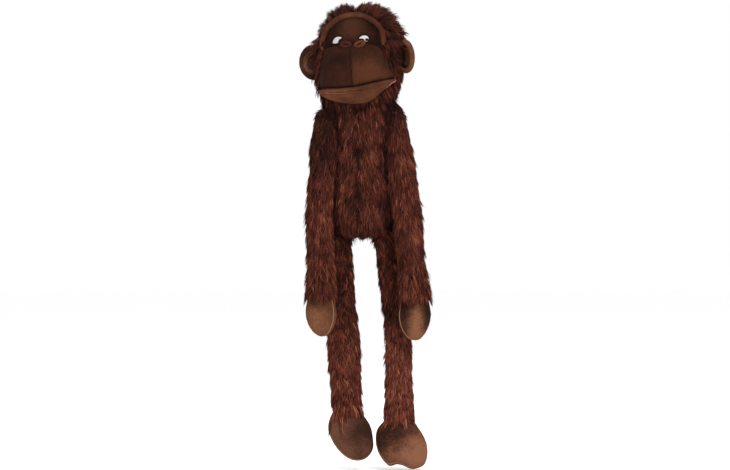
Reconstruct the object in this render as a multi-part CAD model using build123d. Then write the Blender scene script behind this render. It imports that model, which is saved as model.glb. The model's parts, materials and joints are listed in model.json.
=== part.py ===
"""Long-limbed plush monkey, hanging upright with its arms and legs straight down.

It is built as it is sewn: long-pile fur panels and sleeves round separate wads of stuffing, a
suede-like face, hands and feet, and a ring of seam cloth where each limb and the head join the
body. +Z is up, the face looks along -Y, and left and right are the monkey's own, so left is +X.
The origin is the middle of the base of the box round the whole toy. All lengths are in mm.
"""

from build123d import *
import math
import os

os.makedirs("parts", exist_ok=True)

# Cloth, stuffing and joints.
CLOTH = 2.0
EASE = 0.3
SEAM_CLOTH = 1.5
SEAM_GAP = 0.4
PINCH_BALL = 4.0
PINCH_TIP_AT = 3.0
PINCH_TIP_R = 2.4
PINCH_EXTRA = 1.5
PINCH_GAP = 0.6
CORE_TIP_R = 0.6

# Head. Its own frame has its centre at the middle of the round of the skull.
SKULL_R = 53.0
HEAD_CENTRE = (0.0, 0.0, 540.0)
HEAD_TURN = -14.0
HEAD_TILT = -5.0
NAPE_DEPTH = 66.0
NAPE_R = 40.0
JAW_SIDE_R = 50.5
JAW_SIDE_DEPTH = 30.0
FACE_EDGE_Y = -33.6
NECK_BALL_R = 22.0

# Brow roll round the top half of the face.
BROW_R = 38.5
BROW_ROLL_R = 3.2
BROW_Y = -41.4
BROW_Z = 3.0

# Muzzle: half of a round drum, flat at the back.
MUZZLE_AXIS_Y = -14.0
MUZZLE_TOP = 0.0
MUZZLE_BOTTOM = -68.0
MUZZLE_SIDE = [
    (38.0, MUZZLE_TOP),
    (44.5, -5.0),
    (48.5, -16.0),
    (50.0, -32.0),
    (49.5, -46.0),
    (43.0, -59.0),
    (24.0, MUZZLE_BOTTOM),
]
MOUTH_Z = -47.5
MOUTH_TILT = -3.0
MOUTH_GAP = 0.6

# Eyes are stitched patches in three layers on the skull. Each layer has its half width, its
# half height, and how far it is moved from the middle of the eye.
EYE_X = 17.8
EYE_Z = 10.0
EYE_LAYERS = [
    ("eye_outline", 8.6, 6.0, 0.0, 0.0),
    ("eye_white", 6.4, 4.0, 0.0, 0.0),
    ("pupil", 1.9, 1.9, 2.6, -1.4),
]
PATCH = 0.6
PATCH_GAP = 0.1

NOSTRIL_SIZE = (7.4, 3.8, 4.5)
NOSTRIL_AT = (8.6, -59.4, 5.0)

# The ears: thickness and height are the same, but the left one is folded a little flatter.
EAR_THICK = 5.5
EAR_HALF_HEIGHT = 23.5
EAR_HALF_WIDTH = {"right": 19.0, "left": 17.0}
EAR_X = {"right": -60.5, "left": 56.0}
EAR_Y = -9.0
EAR_Z = -14.0

# Body: height, half width and half depth of its oval sections, from hips to neck.
BODY_TOP = 460.0
BODY_SECTIONS = [(340.0, 36.0, 29.0), (380.0, 34.0, 29.0), (420.0, 30.0, 27.5), (BODY_TOP, 29.0, 26.5)]
HIP_HALF_WIDTH = 36.0
HIP_HALF_DEPTH = 26.0
FRONT_SEAM_X = -3.5
SIDE_SEAM_Y = 3.0
CROTCH_X = 2.5
CROTCH_TOP = (13.0, 20.0)
CROTCH_TIP = (8.0, 11.0)
CROTCH_DROP = 13.0

# Limbs: radii, and the line each limb hangs on.
SHOULDER_R = 13.5
FOREARM_R = 12.5
WRIST_R = 12.0
HIP_R = 15.0
SHIN_TAPER = 0.5
HIP_Z = 297.0
LEG_Y = 8.0

LIMBS = {
    "right": {
        "shoulder": (-44.0, -4.0, 448.0),
        "elbow": (-52.5, -17.0, 336.0),
        "wrist": (-51.5, -31.0, 227.0),
        "hip": (-29.0, LEG_Y, HIP_Z),
        "knee": (-23.5, LEG_Y, 183.0),
        "ankle": (-17.5, LEG_Y, 71.0),
        "shin_r": 15.5,
        "foot_half_width": 28.0,
        "foot_half_length": 37.5,
        "foot_lean": 9.0,
    },
    "left": {
        "shoulder": (44.0, -4.0, 448.0),
        "elbow": (58.0, -17.0, 336.0),
        "wrist": (67.5, -31.0, 224.0),
        "hip": (34.0, LEG_Y, HIP_Z),
        "knee": (47.0, LEG_Y, 180.0),
        "ankle": (49.5, LEG_Y, 64.0),
        "shin_r": 14.5,
        "foot_half_width": 33.0,
        "foot_half_length": 39.5,
        "foot_lean": 4.0,
    },
}

HAND_SIZE = (20.0, 11.5, 29.0)
HAND_REACH = 27.0
FOOT_THICK = 16.0
FOOT_HEEL = 3.0
FOOT_DROOP = 54.0

# Which way the seam cloth of a joint faces, and how far round the joint it reaches.
SEAM_SPREAD = 35.0
NECK_SEAM_SPREAD = 40.0
BIG = 400.0

HEAD_FRAME = Pos(*HEAD_CENTRE) * Rot(Y=HEAD_TILT) * Rot(Z=HEAD_TURN)
NECK_PIVOT = (0.0, 0.0, HEAD_CENTRE[2] - NAPE_DEPTH)


def ball(centre, radius):
    return Pos(*centre) * Sphere(radius)


def ellipsoid(size):
    return scale(Sphere(1.0), by=size)


def slab(x=(-BIG, BIG), y=(-BIG, BIG), z=(-BIG, BIG)):
    """Everything between the given limits, as one large box."""
    sizes = [high - low for low, high in (x, y, z)]
    middle = [(high + low) / 2 for low, high in (x, y, z)]
    return Pos(*middle) * Box(*sizes)


def turned(points, round_stretch=()):
    """The solid turned round Z by a closed outline of (radius, height) points.

    round_stretch is a smooth run of points that comes before the straight ones.
    """
    edges = Curve()
    outline = list(points)
    if round_stretch:
        edges += Spline(*[(r, 0, h) for r, h in round_stretch])
        outline = [round_stretch[-1], *points, round_stretch[0]]
    edges += Polyline(*[(r, 0, h) for r, h in outline], close=not round_stretch)
    return revolve(make_face(edges), Axis.Z)


def seam_cloth(centre, radius, towards, spread):
    """A dished disc of seam cloth over a joint's ball, facing the given way."""
    inner, outer = radius + SEAM_GAP, radius + SEAM_GAP + SEAM_CLOTH
    shell = Sphere(outer) - Sphere(inner)
    reach = 2 * outer
    wedge = Pos(0, 0, reach / 2) * Cone(0, reach * math.tan(math.radians(spread)), reach)
    return Plane(origin=centre, z_dir=towards).location * (shell & wedge)


def seam_room(radius):
    return radius + 2 * SEAM_GAP + SEAM_CLOTH


def pinch(radius, inset):
    """How a limb narrows to a bending place: (length, distance to the tip, radius of the tip)."""
    length = radius + PINCH_EXTRA
    slope = (radius - PINCH_TIP_R) / (length - PINCH_TIP_AT)
    tip_r = CORE_TIP_R if inset else PINCH_TIP_R
    return length + inset, length + inset - (radius - inset - tip_r) / slope, tip_r


def tube_outline(length, top_r, end_r, inset, round_top):
    """A limb's outline below its top pivot, drawn in by inset on every side."""
    end_length, end_at, end_tip = pinch(end_r, inset)
    points = [(end_r - inset, end_length - length), (end_tip, end_at - length), (0, end_at - length)]
    if round_top:
        return [(0, 0), (top_r - inset, 0), *points]
    start_length, start_at, start_tip = pinch(top_r, inset)
    if not inset:
        start_tip += (PINCH_BALL + PINCH_GAP - start_at) * (top_r - start_tip) / (start_length - start_at)
        start_at = PINCH_BALL + PINCH_GAP
    return [(0, -start_at), (start_tip, -start_at), (top_r - inset, -start_length), *points]


def limb_part(top, end, top_r, end_r, round_top):
    """A sleeve and its stuffing between two pivots: (sleeve, stuffing)."""
    line = Vector(*end) - Vector(*top)
    place = Plane(origin=top, z_dir=line * -1).location

    def drawn_in(inset):
        solid = turned(tube_outline(line.length, top_r, end_r, inset, round_top))
        if round_top:
            solid += Sphere(top_r - inset)
        return solid

    pivot_ball = ball((0, 0, -line.length), PINCH_BALL)
    sleeve = (drawn_in(0) + pivot_ball) - drawn_in(CLOTH)
    return place * sleeve, place * drawn_in(CLOTH + EASE)


def padded_pair(size, frame, pivot_room):
    """A two-panel stuffed shape with its seam round the rim: (front, back, stuffing).

    Nothing of it reaches above pivot_room, the solid below the pivot that it hangs from.
    """

    def pad(inset):
        return ellipsoid(tuple(half - inset for half in size))

    shell = pad(0) - pad(CLOTH)
    front = frame * (shell & slab(y=(-BIG, 0)))
    back = frame * (shell & slab(y=(0, BIG)))
    return front & pivot_room, back & pivot_room, (frame * pad(CLOTH + EASE)) & pivot_room


def below(pivot, upwards):
    """The space below a pinched joint whose limb comes down along -upwards."""
    return Plane(origin=pivot, z_dir=upwards).location * slab(z=(-BIG, -PINCH_BALL - PINCH_GAP))


def hand(side, wrist, elbow):
    upwards = (Vector(*elbow) - Vector(*wrist)).normalized()
    middle = Vector(*wrist) - upwards * HAND_REACH
    frame = Plane(origin=middle, x_dir=(1, 0, -upwards.X / upwards.Z), z_dir=upwards).location
    front, back, stuffing = padded_pair(HAND_SIZE, frame, below(wrist, upwards))
    return {
        f"hand_back_{side}": front,
        f"hand_palm_{side}": back,
        f"hand_stuffing_{side}": stuffing,
    }


def foot(side, limb):
    ankle, half_length = limb["ankle"], limb["foot_half_length"]
    hanging = Pos(*ankle) * Rot(Y=-limb["foot_lean"]) * Rot(X=FOOT_DROOP - 90)
    frame = hanging * Pos(0, 0, FOOT_HEEL - half_length)
    size = (limb["foot_half_width"], FOOT_THICK, half_length)
    upper, sole, stuffing = padded_pair(size, frame, below(ankle, (0, 0, 1)))
    return {
        f"foot_upper_{side}": upper,
        f"foot_sole_{side}": sole,
        f"foot_stuffing_{side}": stuffing,
    }


def arm(side, limb):
    upper, upper_core = limb_part(limb["shoulder"], limb["elbow"], SHOULDER_R, FOREARM_R, True)
    lower, lower_core = limb_part(limb["elbow"], limb["wrist"], FOREARM_R, WRIST_R, False)
    inward = -math.copysign(1, limb["shoulder"][0])
    return {
        f"shoulder_seam_{side}": seam_cloth(limb["shoulder"], SHOULDER_R, (inward, 0, 1), SEAM_SPREAD),
        f"upper_arm_sleeve_{side}": upper,
        f"upper_arm_stuffing_{side}": upper_core,
        f"forearm_sleeve_{side}": lower,
        f"forearm_stuffing_{side}": lower_core,
        **hand(side, limb["wrist"], limb["elbow"]),
    }


def leg(side, limb):
    shin_r = limb["shin_r"]
    thigh, thigh_core = limb_part(limb["hip"], limb["knee"], HIP_R, shin_r, True)
    shin, shin_core = limb_part(limb["knee"], limb["ankle"], shin_r, shin_r - SHIN_TAPER, False)
    return {
        f"hip_seam_{side}": seam_cloth(limb["hip"], HIP_R, (0, 0, 1), SEAM_SPREAD),
        f"thigh_sleeve_{side}": thigh,
        f"thigh_stuffing_{side}": thigh_core,
        f"shin_sleeve_{side}": shin,
        f"shin_stuffing_{side}": shin_core,
        **foot(side, limb),
    }


def body():
    """Two front panels, a back panel and the wad of stuffing inside them."""
    bottom = HIP_Z + seam_room(HIP_R)
    sections = [(bottom, HIP_HALF_WIDTH, HIP_HALF_DEPTH), *BODY_SECTIONS]

    def trunk(inset):
        ovals = []
        for height, half_width, half_depth in sections:
            level = min(max(height, bottom + inset), BODY_TOP - inset)
            ovals.append(Plane(origin=(0, 0, level)) * Ellipse(half_width - inset, half_depth - inset))
        return loft(ovals)

    crotch_top = Plane(origin=(CROTCH_X, 0, bottom)) * Ellipse(*CROTCH_TOP)
    crotch_tip = Plane(origin=(CROTCH_X, 0, bottom - CROTCH_DROP)) * Ellipse(*CROTCH_TIP)
    neck_bowl = ball(NECK_PIVOT, seam_room(NECK_BALL_R))
    shell = (trunk(0) + loft([crotch_tip, crotch_top])) - trunk(CLOTH)
    stuffing = trunk(CLOTH + EASE) - neck_bowl
    shell -= neck_bowl
    for limb in LIMBS.values():
        shell -= ball(limb["shoulder"], seam_room(SHOULDER_R))
        stuffing -= ball(limb["shoulder"], seam_room(SHOULDER_R))
    return {
        "body_front_left": shell & slab(x=(FRONT_SEAM_X, BIG), y=(-BIG, SIDE_SEAM_Y), z=(0, BODY_TOP)),
        "body_front_right": shell & slab(x=(-BIG, FRONT_SEAM_X), y=(-BIG, SIDE_SEAM_Y), z=(0, BODY_TOP)),
        "body_back": shell & slab(y=(SIDE_SEAM_Y, BIG), z=(0, BODY_TOP)),
        "body_stuffing": stuffing,
    }


def skull(inset):
    """The head's round, from the crown down to the nape, drawn in by inset."""
    crown = [
        (SKULL_R - inset) * Vector(math.sin(math.radians(a)), math.cos(math.radians(a)))
        for a in (0, 30, 60, 90)
    ]
    side = [(p.X, p.Y) for p in crown]
    side += [(JAW_SIDE_R - inset, -JAW_SIDE_DEPTH), (NAPE_R - inset, -NAPE_DEPTH)]
    return turned([(0, -NAPE_DEPTH)], round_stretch=side)


def muzzle_drum(inset):
    """The muzzle and chin together as a half drum, drawn in by inset."""
    side = [(r - inset, h) for r, h in MUZZLE_SIDE]
    top, bottom = MUZZLE_TOP - inset, MUZZLE_BOTTOM + inset
    side[0] = (side[0][0], top)
    side[-1] = (side[-1][0], bottom)
    drum = Pos(0, MUZZLE_AXIS_Y, 0) * turned([(0, bottom), (0, top)], round_stretch=side)
    return drum & slab(y=(-BIG, MUZZLE_AXIS_Y - EASE - inset))


def eye_patches(side, sign):
    """One eye: layered patches that follow the round of the skull."""
    patches = {}
    for level, (name, half_width, half_height, shift_x, shift_z) in enumerate(EYE_LAYERS):
        floor = SKULL_R + PATCH_GAP + level * (PATCH + PATCH_GAP)
        layer = Sphere(floor + PATCH) - Sphere(floor)
        outline = Plane(origin=(sign * EYE_X + shift_x, 0, EYE_Z + shift_z), z_dir=(0, -1, 0))
        column = extrude(outline * Ellipse(half_width, half_height), amount=2 * SKULL_R)
        patches[f"{name}_{side}"] = layer & column
    return patches


def ear(side):
    pad = ellipsoid((EAR_HALF_WIDTH[side], EAR_THICK, EAR_HALF_HEIGHT))
    pad = Pos(EAR_X[side], EAR_Y, EAR_Z) * pad - skull(-SEAM_GAP)
    return {
        f"ear_front_{side}": pad & slab(y=(-BIG, EAR_Y)),
        f"ear_back_{side}": pad & slab(y=(EAR_Y, BIG)),
    }


def head():
    """Everything above the neck, in the head's own frame."""
    fur = skull(0) - skull(CLOTH)
    face = slab(y=(-BIG, FACE_EDGE_Y), z=(MUZZLE_TOP + EASE, BIG))
    muzzle_space = slab(y=(-BIG, MUZZLE_AXIS_Y), z=(-BIG, MUZZLE_TOP + EASE))
    cover = fur - face - muzzle_space
    neck_centre = HEAD_FRAME.inverse() * Pos(*NECK_PIVOT)
    neck_ball = neck_centre * Sphere(NECK_BALL_R)
    neck_space = neck_centre * Sphere(NECK_BALL_R + SEAM_GAP)
    drum_shell = muzzle_drum(0) - muzzle_drum(CLOTH)
    above_mouth = Pos(0, 0, MOUTH_Z) * Rot(Y=MOUTH_TILT) * slab(z=(0, BIG))
    below_mouth = Pos(0, 0, MOUTH_Z) * Rot(Y=MOUTH_TILT) * slab(z=(-BIG, -MOUTH_GAP))
    muzzle = drum_shell & above_mouth
    parts = {
        "head_fur_left": cover & slab(x=(0, BIG)),
        "head_fur_right": cover & slab(x=(-BIG, 0)),
        "head_stuffing": (skull(CLOTH + EASE) - muzzle_space) + neck_ball,
        "eye_panel": fur & face,
        "muzzle_left": muzzle & slab(x=(0, BIG)),
        "muzzle_right": muzzle & slab(x=(-BIG, 0)),
        "muzzle_stuffing": muzzle_drum(CLOTH + EASE) & above_mouth,
        "lower_lip": (muzzle_drum(0) & below_mouth) - neck_space,
    }
    arch = revolve(Pos(BROW_R, 0) * Circle(BROW_ROLL_R), Axis.Y, revolution_arc=-180)
    parts["brow_roll"] = Pos(0, BROW_Y, BROW_Z) * arch
    for side, sign in (("left", 1), ("right", -1)):
        parts |= eye_patches(side, sign)
        parts |= ear(side)
        nostril = Pos(sign * NOSTRIL_AT[0], NOSTRIL_AT[1], NOSTRIL_AT[2])
        parts[f"nostril_{side}"] = nostril * ellipsoid(NOSTRIL_SIZE)
    return {name: HEAD_FRAME * shape for name, shape in parts.items()}


def monkey():
    parts = body() | head()
    parts["neck_seam"] = seam_cloth(NECK_PIVOT, NECK_BALL_R, (0, 0, -1), NECK_SEAM_SPREAD)
    for side, limb in LIMBS.items():
        parts |= arm(side, limb)
        parts |= leg(side, limb)
    return parts


PARTS = monkey()
WHOLE = Compound([solid for shape in PARTS.values() for solid in shape.solids()]).bounding_box()
ORIGIN = Vector(WHOLE.center().X, WHOLE.center().Y, WHOLE.min.Z)

for name, shape in PARTS.items():
    solids = shape.solids()
    kept = solids[0] if len(solids) == 1 else Compound(solids)
    export_step(Pos(*(-ORIGIN)) * kept, f"parts/{name}.step")
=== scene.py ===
import json
import math

import bmesh
import bpy
import numpy as np
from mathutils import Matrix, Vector
from mathutils.bvhtree import BVHTree


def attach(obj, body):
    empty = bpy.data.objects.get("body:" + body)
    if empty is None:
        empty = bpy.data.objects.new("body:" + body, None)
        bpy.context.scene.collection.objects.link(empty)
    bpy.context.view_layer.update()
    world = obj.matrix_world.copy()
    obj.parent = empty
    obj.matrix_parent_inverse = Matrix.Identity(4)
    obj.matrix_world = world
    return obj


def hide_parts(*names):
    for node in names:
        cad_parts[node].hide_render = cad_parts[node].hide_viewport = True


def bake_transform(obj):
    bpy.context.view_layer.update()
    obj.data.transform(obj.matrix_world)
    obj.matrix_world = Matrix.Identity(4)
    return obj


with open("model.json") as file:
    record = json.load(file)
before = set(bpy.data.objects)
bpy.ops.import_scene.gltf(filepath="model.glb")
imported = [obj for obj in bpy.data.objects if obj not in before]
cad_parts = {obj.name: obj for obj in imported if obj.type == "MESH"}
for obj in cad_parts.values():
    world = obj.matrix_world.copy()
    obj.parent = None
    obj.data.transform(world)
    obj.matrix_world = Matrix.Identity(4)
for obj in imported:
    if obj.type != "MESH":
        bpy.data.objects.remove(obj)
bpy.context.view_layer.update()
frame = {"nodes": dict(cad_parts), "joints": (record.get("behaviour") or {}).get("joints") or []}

# Looks of the long-limbed plush monkey. Shapes are worked out in millimetres in the part's frame, or
# about the head, an ear, a nostril, a hand or a foot, and become metres when the mesh is made. The
# face looks along -Y, and left and right are the monkey's own, so left is +X.
MM = 0.001
UP = np.array((0.0, 0.0, 1.0))
JOINTS = {joint["name"]: joint for joint in frame["joints"]}
SIDES = {"right": -1.0, "left": 1.0}


def pivot(joint):
    return np.array(JOINTS[joint]["pos_m"]) / MM


def unit(v):
    return v / np.maximum(np.linalg.norm(v, axis=-1, keepdims=True), 1e-9)


def turn(degrees, axis):
    """The rotation matrix about one of the main axes, by the right-hand rule."""
    c, s = math.cos(math.radians(degrees)), math.sin(math.radians(degrees))
    i, j = {"X": (1, 2), "Y": (2, 0), "Z": (0, 1)}[axis]
    m = np.eye(3)
    m[i, i], m[i, j], m[j, i], m[j, j] = c, -s, s, c
    return m


class Place:
    """Where a group of pieces sits: points in its own millimetres go out to the part's frame."""

    def __init__(self, centre, axes=np.eye(3)):
        self.centre, self.axes = np.array(centre, float), np.array(axes, float)

    def out(self, points):
        return np.asarray(points, float) @ self.axes.T + self.centre

    def inside(self, points):
        return (np.asarray(points, float) - self.centre) @ self.axes


HEAD_RISE = 66.0
HEAD_TILT = -5.0
HEAD_TURN = math.degrees(math.atan2(JOINTS["neck_nod"]["axis"][1], JOINTS["neck_nod"]["axis"][0]))
NECK = pivot("neck_nod")
HEAD = Place(NECK + HEAD_RISE * UP, turn(HEAD_TILT, "Y") @ turn(HEAD_TURN, "Z"))
BODY = Place(NECK)

SHOULDER, ELBOW, WRIST, HIP, KNEE, ANKLE = (
    {side: pivot(f"{joint}_{side}") for side in SIDES}
    for joint in ("shoulder_swing", "elbow", "wrist", "hip_swing", "knee", "ankle")
)


# ------------------------ smooth lines and meshes

def turn_round(count):
    """Angles evenly spaced over a full turn."""
    return np.linspace(0, 2 * math.pi, count, endpoint=False)


def oval(half_width, half_height, count):
    """Points (x, z) round an ellipse."""
    angle = turn_round(count)
    return np.column_stack([half_width * np.cos(angle), half_height * np.sin(angle)])


def upright(outline):
    """Points (x, z) as places in the plane of y = 0."""
    return np.insert(np.asarray(outline, float), 1, 0.0, axis=1)


def arch(count, start=0.0, end=math.pi):
    """Rises smoothly from nothing to 1 and falls back over a run of places."""
    return np.sin(np.linspace(start, end, count))


def bell(distance, width):
    """1 where the distance is 0, fading smoothly to nothing past the width."""
    return np.exp(-((distance / width) ** 2))


def held(value):
    """The value, held between 0 and 1."""
    return np.clip(value, 0, 1)


def smooth_line(points, count, closed=False):
    """Points along a Catmull-Rom curve through the given ones."""
    p = np.array(points, float)
    if closed:
        p = np.vstack([p[-1:], p, p[:2]])
        spans = len(p) - 3
        t = np.arange(count) * spans / count
    else:
        p = np.vstack([2 * p[0] - p[1], p, 2 * p[-1] - p[-2]])
        spans = len(p) - 3
        t = np.linspace(0, spans, count)
    i = np.minimum(t.astype(int), spans - 1)
    f = (t - i)[:, None]
    a, b, c, d = p[i], p[i + 1], p[i + 2], p[i + 3]
    return 0.5 * (2 * b + (c - a) * f + (2 * a - 5 * b + 4 * c - d) * f**2 + (3 * b - a - 3 * c + d) * f**3)


def profile(pairs, at):
    """A smooth value along a list of (place, value) pairs, read at the given places."""
    places, values = np.array(pairs, float).T
    order = np.argsort(places)
    fine = smooth_line(np.column_stack([places[order], values[order]]), 200)
    return np.interp(at, fine[:, 0], fine[:, 1])


def shade_faces(mesh, smooth=True):
    mesh.polygons.foreach_set("use_smooth", [smooth] * len(mesh.polygons))


def add_object(name, data, materials=()):
    """A mesh, a lamp or a camera as an object of the scene."""
    for material in materials:
        data.materials.append(material)
    added = bpy.data.objects.new(name, data)
    bpy.context.scene.collection.objects.link(added)
    return added


def build(name, verts, faces, materials, smooth=True):
    """A piece from points in mm of the part's frame and a list of faces."""
    mesh = bpy.data.meshes.new(name)
    mesh.from_pydata((np.asarray(verts) * MM).tolist(), [], faces)
    mesh.validate()
    work = bmesh.new()
    work.from_mesh(mesh)
    bmesh.ops.recalc_face_normals(work, faces=work.faces)
    work.to_mesh(mesh)
    work.free()
    shade_faces(mesh, smooth)
    return add_object(name, mesh, materials)


def ring_faces(rings, around, cap_ends=True):
    """Faces of a closed tube whose vertices are rings, followed by a pole at each end."""
    faces = []
    for i in range(rings - 1):
        for j in range(around):
            k = (j + 1) % around
            faces.append((i * around + j, i * around + k, (i + 1) * around + k, (i + 1) * around + j))
    if cap_ends:
        first, last = rings * around, rings * around + 1
        for j in range(around):
            k = (j + 1) % around
            faces.append((k, j, first))
            faces.append(((rings - 1) * around + j, (rings - 1) * around + k, last))
    return faces


def rings_round(places, across, out, around):
    """A ring of points round each place, spanned by the two radii across and out."""
    angle = turn_round(around)[:, None]
    places, across, out = (given[..., None, :] for given in (places, across, out))
    return places + np.cos(angle) * across + np.sin(angle) * out


def tube_points(line, half_width, half_depth, around, side_axis=(1.0, 0.0, 0.0)):
    """Rings round a line, closed with a pole at each end, for a limb, a trunk or a roll."""
    line = np.asarray(line, float)
    along = unit(np.gradient(line, axis=0))
    across = unit(np.asarray(side_axis) - along * (along @ np.asarray(side_axis))[:, None])
    out = np.cross(along, across)
    wide, deep = (np.reshape(radius, (-1, 1)) for radius in (half_width, half_depth))
    rings = rings_round(line, across * wide, out * deep, around)
    return np.vstack([rings.reshape(-1, 3), line[:1], line[-1:]])


def pad_points(outline, front, back, rings):
    """A closed pad over a flat outline of (x, z) points, as thick as front and back say.

    front and back take x, z and the share of the way from middle to rim, and give y.
    """
    rim = np.asarray(outline, float)
    middle = rim.mean(axis=0)
    shares = np.sin(np.linspace(0, math.pi / 2, rings + 1)[1:])
    verts = []
    for surface, run in ((front, shares), (back, shares[-2::-1])):
        for share in run:
            x, z = (middle + (rim - middle) * share).T
            verts.append(np.column_stack([x, surface(x, z, share) + np.zeros(len(x)), z]))
    poles = [(middle[0], surface(*middle, 0.0), middle[1]) for surface in (front, back)]
    return np.vstack([*verts, poles]), ring_faces(2 * rings - 1, len(rim))


# ------------------------ materials

SHEEN_TINT = (214, 150, 120)
SHEEN_ROUGH = 0.4


def linear(rgb):
    """A colour given as 0 to 255 on screen, as the shader wants it."""
    share = np.array(rgb, float) / 255.0
    return tuple(np.where(share <= 0.04045, share / 12.92, ((share + 0.055) / 1.055) ** 2.4)) + (1.0,)


def plain_material(name, colour, roughness, sheen=0.0, gloss=0.02):
    material = bpy.data.materials.new(name)
    material.use_nodes = True
    shader = material.node_tree.nodes["Principled BSDF"]
    shader.inputs["Base Color"].default_value = linear(colour)
    shader.inputs["Roughness"].default_value = roughness
    shader.inputs["Specular IOR Level"].default_value = gloss
    shader.inputs["Sheen Weight"].default_value = sheen
    shader.inputs["Sheen Roughness"].default_value = SHEEN_ROUGH
    shader.inputs["Sheen Tint"].default_value = linear(SHEEN_TINT)
    material.diffuse_color = linear(colour)
    return material


class Look:
    """A material's nodes, worked out from the place on the object in metres."""

    def __init__(self, name, colour, roughness, sheen):
        self.material = plain_material(name, colour, roughness, sheen)
        self.nodes, self.links = self.material.node_tree.nodes, self.material.node_tree.links
        self.shader = self.nodes["Principled BSDF"]
        self.where = self.nodes.new("ShaderNodeTexCoord").outputs["Object"]

    def node(self, kind, output, inputs, **settings):
        """The output of a new node, with its inputs set to numbers or tuples, or linked."""
        node = self.nodes.new(f"ShaderNode{kind}")
        for name, value in settings.items():
            setattr(node, name, value)
        for name, value in inputs.items():
            if isinstance(value, bpy.types.NodeSocket):
                self.links.new(value, node.inputs[name])
            else:
                node.inputs[name].default_value = value
        return node.outputs[output]

    def noise(self, scale, detail, rough=0.6):
        inputs = {"Vector": self.where, "Scale": scale, "Detail": detail, "Roughness": rough}
        return self.node("TexNoise", "Fac", inputs)

    def maths(self, operation, a, b):
        return self.node("Math", 0, {0: a, 1: b}, operation=operation)

    def add(self, a, b):
        return self.maths("ADD", a, b)

    def times(self, a, b):
        return self.maths("MULTIPLY", a, b)

    def along(self, direction, middle, span):
        """How far a place lies from the middle along a direction, in spans. Lengths are in mm."""
        shift = {0: self.where, 1: tuple(np.asarray(middle) * MM)}
        shifted = self.node("VectorMath", "Vector", shift, operation="SUBTRACT")
        reach = {0: shifted, 1: tuple(np.asarray(direction) / (span * MM))}
        return self.node("VectorMath", "Value", reach, operation="DOT_PRODUCT")

    def away(self, middle):
        """How far a place lies from the middle, in metres."""
        ends = {0: self.where, 1: tuple(np.asarray(middle) * MM)}
        return self.node("VectorMath", "Value", ends, operation="DISTANCE")

    def colour(self, value, first, last, between=()):
        """Colours the surface by a value. Each stop is (value, colour)."""
        ramp = self.nodes.new("ShaderNodeValToRGB")
        for element, (place, rgb) in zip(ramp.color_ramp.elements, (first, last)):
            element.position = place
            element.color = linear(rgb)
        for place, rgb in between:
            ramp.color_ramp.elements.new(place).color = linear(rgb)
        self.links.new(value, ramp.inputs["Fac"])
        self.links.new(ramp.outputs["Color"], self.shader.inputs["Base Color"])

    def bump(self, height, strength, distance):
        inputs = {"Height": height, "Strength": strength, "Distance": distance}
        self.links.new(self.node("Bump", "Normal", inputs), self.shader.inputs["Normal"])


# Scales of the suede's brushed patches, its grain and its single fibres, per metre.
PATCH_SCALE, GRAIN_SCALE, FIBRE_SCALE = 28.0, 420.0, 1500.0
THREAD_SCALE = 420.0


def suede(name, dark, mid, light, lean=None, band=None, glow=None, sheen=0.05):
    """Short-pile plush: brushed patches, fine fibre grain and a soft bright edge.

    lean is (direction, middle in mm, span in mm): painted shade, which turns from dark to light along the
    direction. band is the same, for a light stripe through the middle, across the direction. glow is
    (middle, radius) in mm of painted light, a lighter area that fades outwards into painted shade.
    """
    look = Look(name, mid, 0.9, sheen)
    grain = look.noise(GRAIN_SCALE, 4.0, 0.7)
    fibre = look.noise(FIBRE_SCALE, 2.0, 0.7)
    speckle = look.times(look.maths("SUBTRACT", grain, 0.5), 0.55)
    value = look.add(look.noise(PATCH_SCALE, 3.0), speckle)
    # Painted shade, dark at one end of the direction and light at the other.
    if lean is not None:
        value = look.add(value, look.times(look.along(*lean), 0.5))
    if band is not None:
        fade = look.maths("MINIMUM", look.maths("ABSOLUTE", look.along(*band), 0.0), 1.0)
        value = look.add(look.add(value, look.times(fade, -0.45)), 0.3)
    # Painted light round the middle, fading outwards into painted shade.
    if glow is not None:
        middle, radius = glow
        fade = look.times(look.away(middle), -0.5 / (radius * MM))
        value = look.add(value, look.add(fade, 0.35))
    look.colour(value, (0.25, dark), (0.78, light), [(0.5, mid)])
    rough = look.node("MapRange", "Result", {"Value": grain, "To Min": 0.78, "To Max": 0.98})
    look.links.new(rough, look.shader.inputs["Roughness"])
    look.bump(look.add(grain, look.times(fibre, 0.5)), 0.5, 0.0008)
    return look.material


def cloth_material(name, dark, light, threads):
    """Woven or stitched cloth: threads along each of the given axes, with a little unevenness."""
    look = Look(name, light, 0.85, 0.15)
    thread = {"Vector": look.where, "Scale": THREAD_SCALE, "Distortion": 1.5, "Detail": 2.0}
    waves = [look.node("TexWave", "Fac", thread, bands_direction=axis) for axis in threads]
    weave = waves[0]
    for wave in waves[1:]:
        weave = look.maths("MAXIMUM", weave, wave)
    look.colour(weave, (0.0, dark), (1.0, light))
    look.bump(weave, 0.6, 0.0004)
    return look.material


# From the dark roots' shade to the lightest tips'.
FUR_SHADES = [
    (24, 10, 7),
    (38, 16, 11),
    (54, 24, 17),
    (72, 33, 24),
    (90, 43, 31),
    (110, 57, 42),
    (131, 73, 55),
    (153, 94, 73),
]
FUR_MATERIALS = [
    plain_material(f"fur_shade_{level}", shade, 0.7, gloss=0.08) for level, shade in enumerate(FUR_SHADES)
]
# The cloth under the pile, which shows only where the pile parts.
BACKING = cloth_material("fur_backing", (18, 8, 6), (34, 15, 11), "XZ")


# ------------------------ padding

def modify(piece, kind, **settings):
    modifier = piece.modifiers.new(kind, kind)
    for name, value in settings.items():
        setattr(modifier, name, value)
    bpy.context.view_layer.objects.active = piece
    piece.select_set(True)
    bpy.ops.object.modifier_apply(modifier=modifier.name)
    piece.select_set(False)


def at_vertices(piece, what):
    """The co or the normal of each vertex of a piece."""
    values = np.empty(len(piece.data.vertices) * 3)
    piece.data.vertices.foreach_get(what, values)
    return values.reshape(-1, 3)


def coordinates(piece):
    return at_vertices(piece, "co") / MM


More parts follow.
